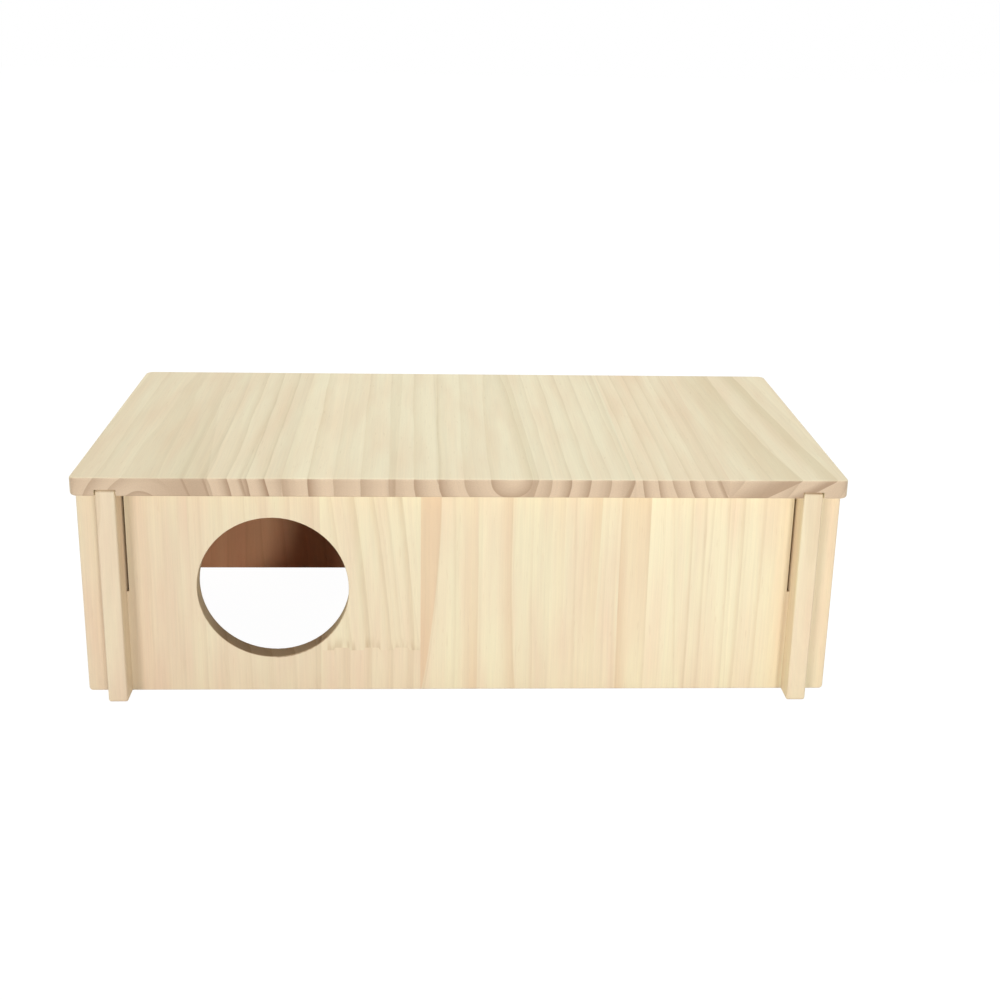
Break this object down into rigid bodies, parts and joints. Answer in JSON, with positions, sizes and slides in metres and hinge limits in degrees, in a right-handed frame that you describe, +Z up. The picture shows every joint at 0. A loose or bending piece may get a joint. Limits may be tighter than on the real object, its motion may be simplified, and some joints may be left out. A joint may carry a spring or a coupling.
{
  "type": "small pet hideout",
  "caption": "Long, low wooden box without a floor, of slotted boards under a loose grooved lid, with a round entrance at one end of its front.",
  "frame": {"origin": "on the floor, under the middle of the lid", "axes": "+X along the length, from the entrance's end to the other; +Y from the front board to the back board; +Z up"},
  "size_m": [0.3, 0.15, 0.095],
  "materials": {
    "lid_board": "sanded bare pine, edge-glued, grain from front to back",
    "wall_board": "sanded bare pine, edge-glued, grain upright"
  },
  "bodies": {
    "walls": {"front_panel": "wall_board", "back_panel": "wall_board", "left_side_panel": "wall_board", "right_side_panel": "wall_board"},
    "lid": {"lid": "lid_board"}
  },
  "joints": [
    {"name": "lid_lift", "type": "slide", "parent": "walls", "child": "lid", "axis": [0, 0, 1], "range_m": [0, 0.12]}
  ]
}
